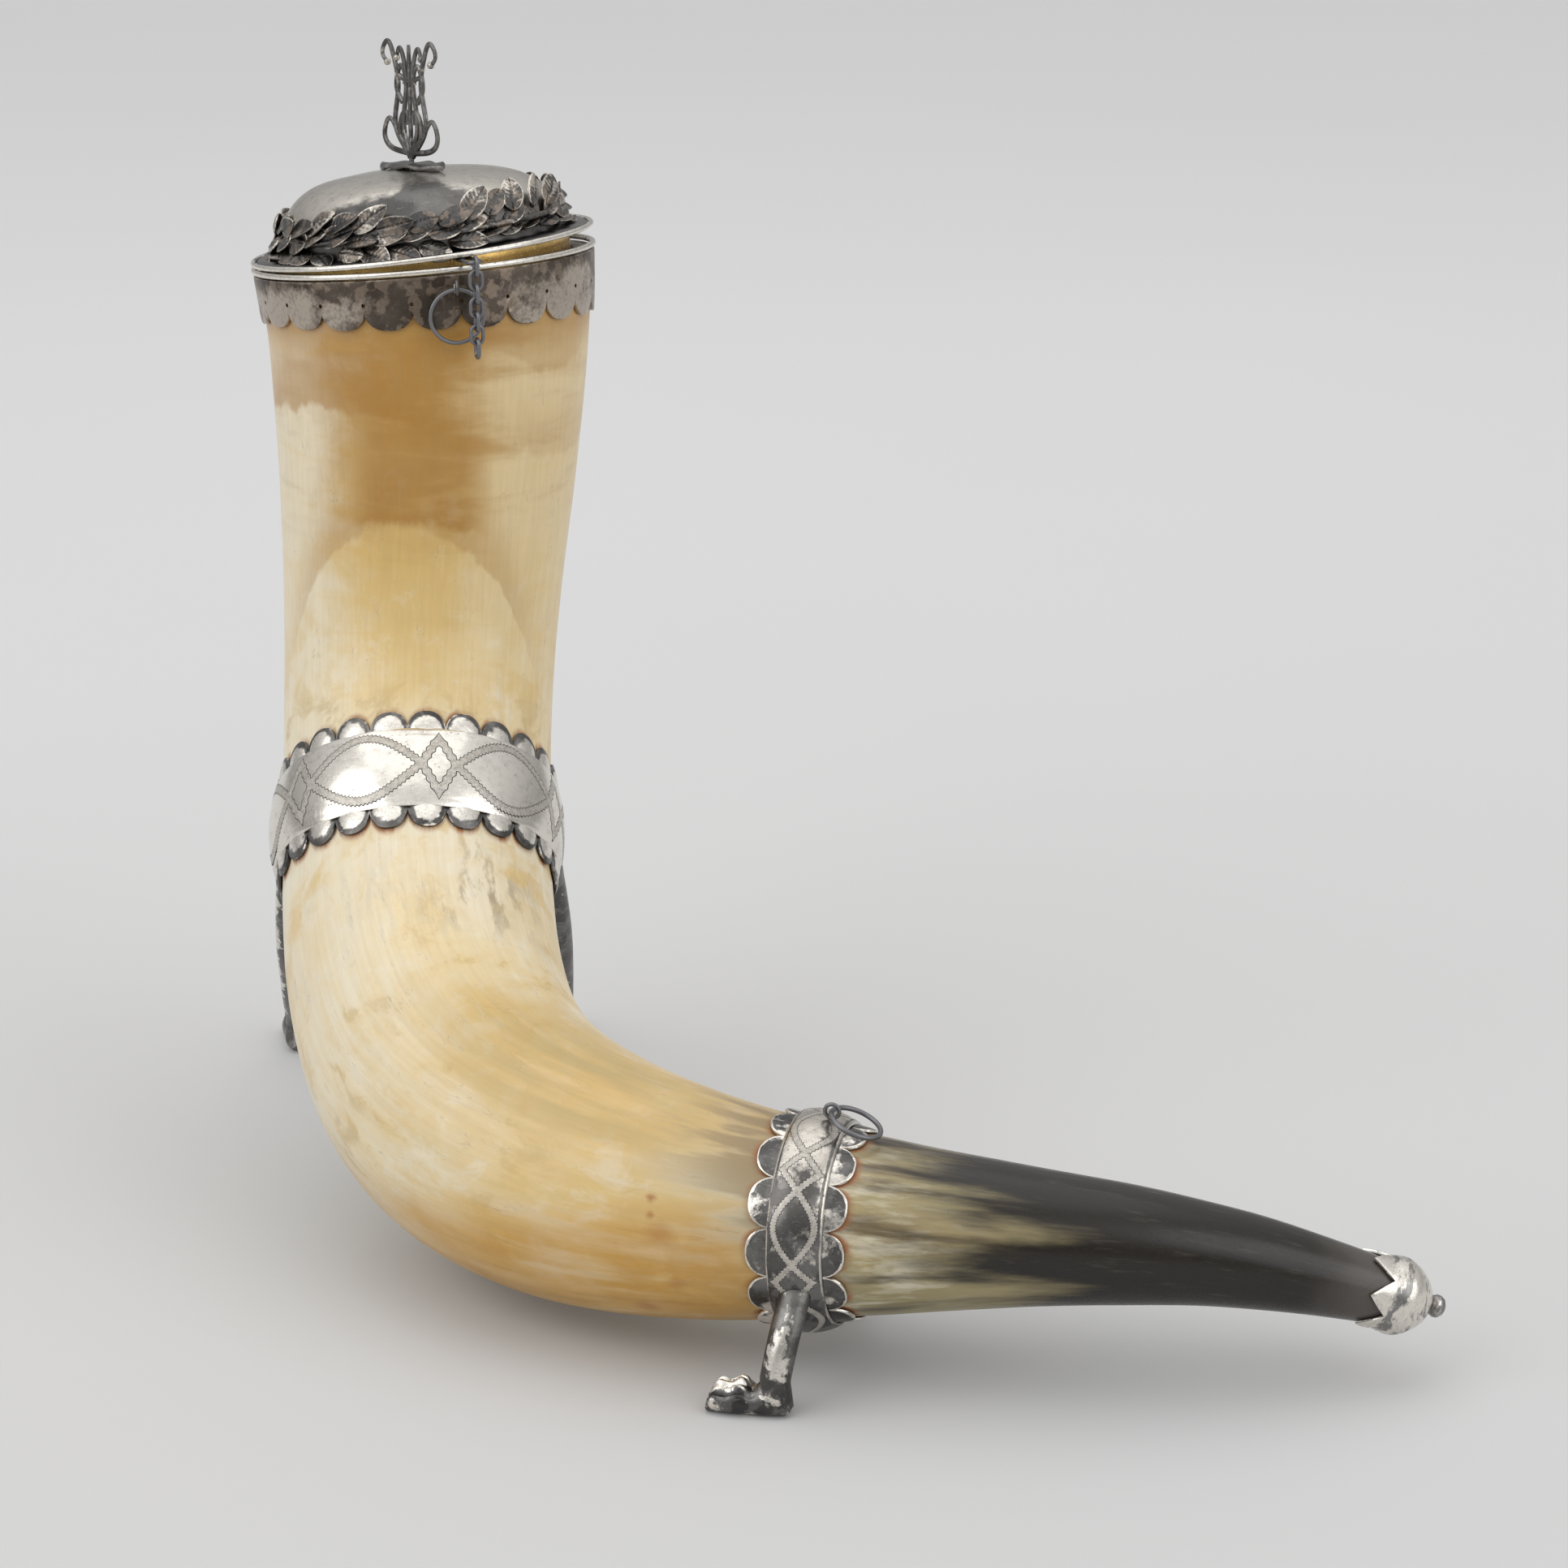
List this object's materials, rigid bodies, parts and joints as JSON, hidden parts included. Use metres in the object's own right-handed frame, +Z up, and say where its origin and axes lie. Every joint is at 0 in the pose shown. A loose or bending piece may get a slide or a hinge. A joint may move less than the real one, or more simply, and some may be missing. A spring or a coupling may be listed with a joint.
{
  "type": "drinking horn",
  "caption": "Curved ox-horn drinking vessel with silver mounts: scalloped rim, domed lid with a laurel wreath and scroll finial, keeper chain, ringed bands on paw feet, capped tip.",
  "frame": {"origin": "centre of the bounding box on the floor", "axes": "+Z up; the mouth end is at -X and the tip points to +X; the pictured front is towards -Y"},
  "size_m": [0.338, 0.2892, 0.3234],
  "materials": {
    "horn": "polished natural horn, cream to black-brown",
    "polished_silver": "polished silver, worn",
    "tarnished_silver": "tarnished silver with bright edges",
    "gilt_silver": "gilt silver",
    "dark_wire": "dark oxidised wire"
  },
  "bodies": {
    "horn": {"horn_body": "horn", "mouth_collar": "tarnished_silver", "rim_bead": "polished_silver", "mouth_eye": "polished_silver", "mid_strip": "tarnished_silver", "mid_band": "polished_silver", "rear_leg_left": "tarnished_silver", "rear_leg_right": "tarnished_silver", "tail_strip": "tarnished_silver", "tail_band": "polished_silver", "front_leg_left": "tarnished_silver", "front_leg_right": "tarnished_silver", "tail_eye": "tarnished_silver", "tip_cap": "polished_silver", "tip_button": "polished_silver"},
    "lid": {"lid_shell": "tarnished_silver", "lid_edge_wire": "polished_silver", "lid_bezel": "gilt_silver", "wreath": "tarnished_silver", "finial_saddle": "tarnished_silver", "finial_scrolls": "tarnished_silver", "finial_nut": "polished_silver", "lid_eye": "dark_wire"},
    "mouth_ring": {"mouth_ring": "dark_wire"},
    "tail_ring": {"tail_ring": "dark_wire"},
    "chain_1": {"chain_link_1": "dark_wire"},
    "chain_2": {"chain_link_2": "dark_wire"},
    "chain_3": {"chain_link_3": "dark_wire"},
    "chain_4": {"chain_link_4": "dark_wire"},
    "chain_5": {"chain_link_5": "dark_wire"},
    "chain_6": {"chain_link_6": "dark_wire"},
    "chain_7": {"chain_link_7": "dark_wire"}
  },
  "joints": [
    {"name": "lid_lift", "type": "slide", "parent": "horn", "child": "lid", "axis": [-0.0778, 0.0972, 0.9922], "range_m": [0, 0.04]},
    {"name": "mouth_ring_swing", "type": "hinge", "parent": "horn", "child": "mouth_ring", "pos_m": [-0.10018, 0.04133, 0.25924], "axis": [0.2427, -0.9701, 0], "range_deg": [-35, 35]},
    {"name": "tail_ring_lift", "type": "hinge", "parent": "horn", "child": "tail_ring", "pos_m": [0.00478, -0.10776, 0.07226], "axis": [-0.255, -0.9669, -0.006], "range_deg": [0, 120]},
    {"name": "chain_swing_1", "type": "hinge", "parent": "lid", "child": "chain_1", "pos_m": [-0.09435, 0.03766, 0.26936], "axis": [0.9451, 0.3268, 0], "range_deg": [-60, 0]},
    {"name": "chain_swing_2", "type": "hinge", "parent": "chain_1", "child": "chain_2", "pos_m": [-0.09435, 0.03766, 0.26546], "axis": [-0.3268, 0.9451, 0], "range_deg": [-25, 15]},
    {"name": "chain_swing_3", "type": "hinge", "parent": "chain_2", "child": "chain_3", "pos_m": [-0.09435, 0.03766, 0.26156], "axis": [0.9451, 0.3268, 0], "range_deg": [-40, 0]},
    {"name": "chain_swing_4", "type": "hinge", "parent": "chain_3", "child": "chain_4", "pos_m": [-0.09435, 0.03766, 0.25766], "axis": [-0.3268, 0.9451, 0], "range_deg": [-25, 25]},
    {"name": "chain_swing_5", "type": "hinge", "parent": "chain_4", "child": "chain_5", "pos_m": [-0.09435, 0.03766, 0.25376], "axis": [0.9451, 0.3268, 0], "range_deg": [-40, 0]},
    {"name": "chain_swing_6", "type": "hinge", "parent": "chain_5", "child": "chain_6", "pos_m": [-0.09435, 0.03766, 0.24986], "axis": [-0.3268, 0.9451, 0], "range_deg": [-25, 25]},
    {"name": "chain_swing_7", "type": "hinge", "parent": "chain_6", "child": "chain_7", "pos_m": [-0.09435, 0.03766, 0.24596], "axis": [0.9451, 0.3268, 0], "range_deg": [-40, 0]}
  ]
}
